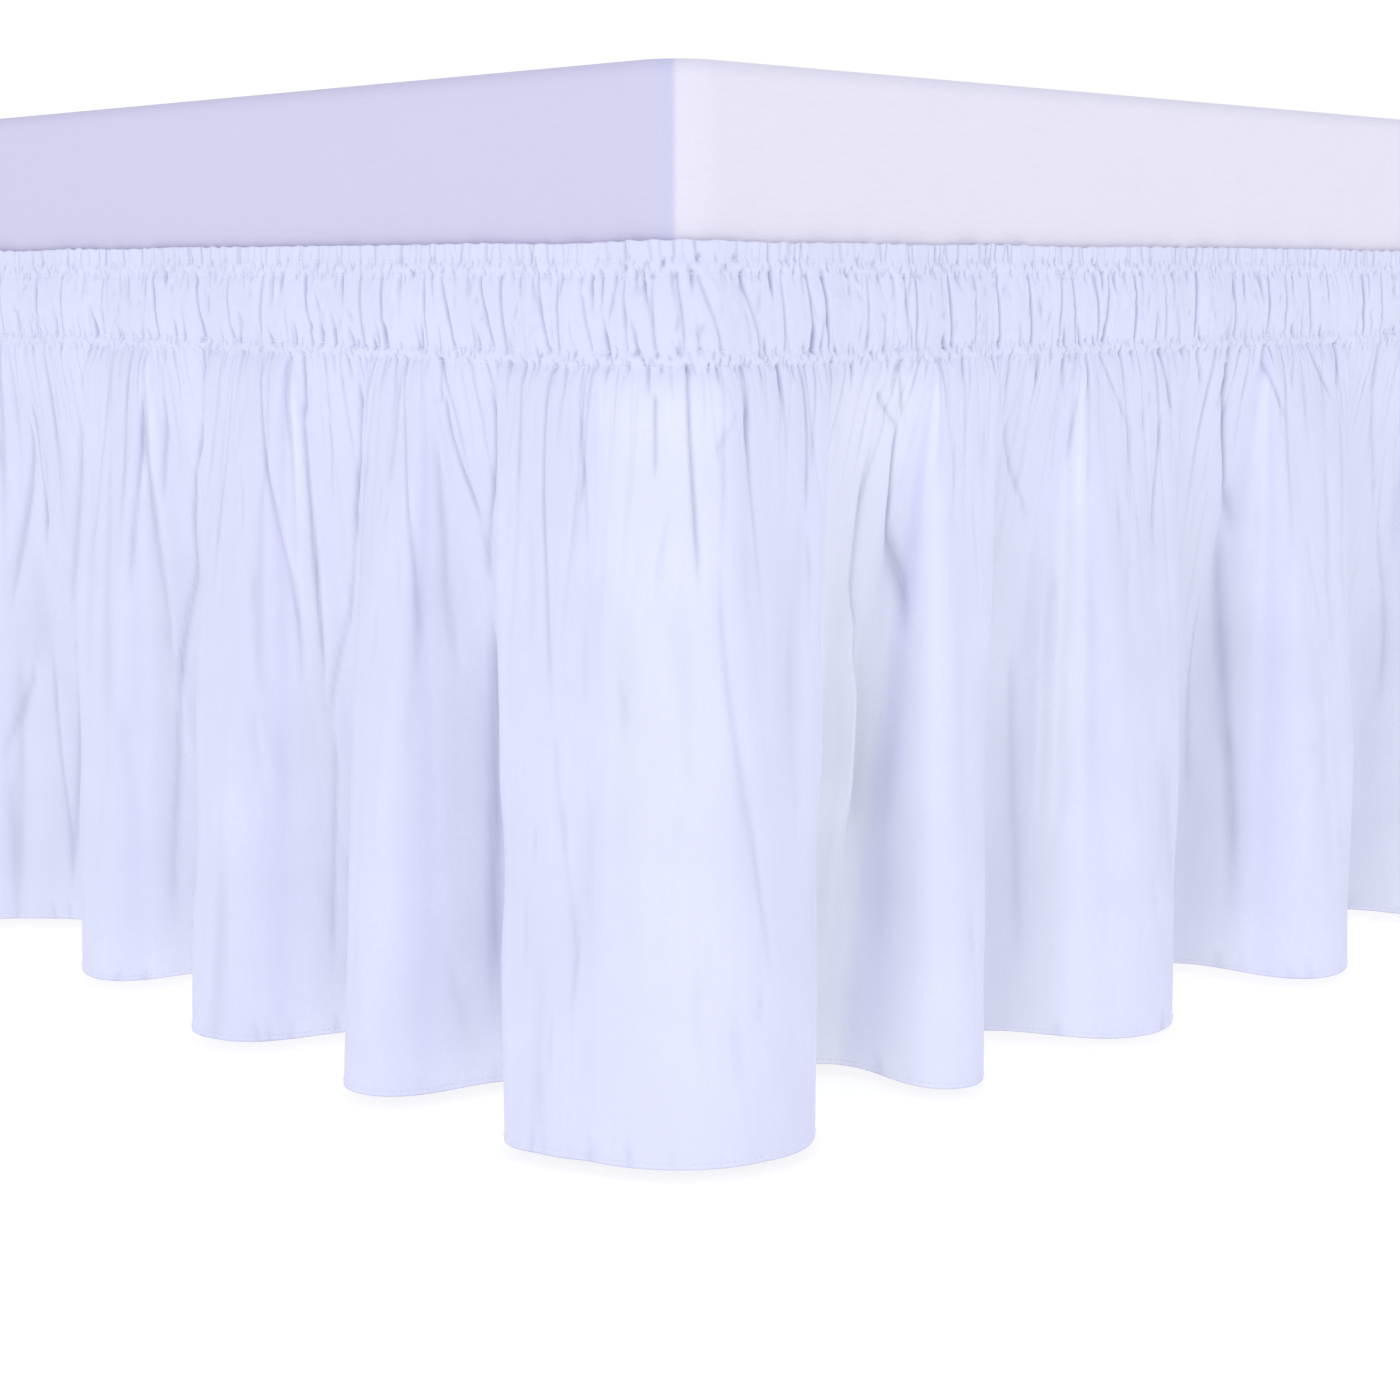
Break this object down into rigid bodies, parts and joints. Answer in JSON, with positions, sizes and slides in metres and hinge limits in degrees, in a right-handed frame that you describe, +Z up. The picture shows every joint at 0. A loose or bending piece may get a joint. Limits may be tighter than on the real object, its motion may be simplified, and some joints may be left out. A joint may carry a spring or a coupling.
{
  "type": "bed skirt on box spring bed",
  "caption": "Gathered wrap-around ruffle bed skirt on a plain twin box spring with peg legs; cloth falls in deep uneven folds to the floor.",
  "frame": {"origin": "centre of the footprint, on the floor", "axes": "+Z up; +Y along the bed towards its head; +X to the side whose front corner is the one seen"},
  "size_m": [1.096, 2.011, 0.488],
  "materials": {
    "cloth": "smooth plain-woven brushed microfibre, white with a faint lavender-blue cast",
    "ticking": "plain pale upholstery cloth, matt, pulled smooth over the frame",
    "leg_wood": "clear satin varnish on turned beech"
  },
  "bodies": {
    "root": {"skirt": "cloth", "box_spring": "ticking", "leg_left_1": "leg_wood", "leg_left_2": "leg_wood", "leg_left_3": "leg_wood", "leg_right_1": "leg_wood", "leg_right_2": "leg_wood", "leg_right_3": "leg_wood"}
  },
  "joints": []
}
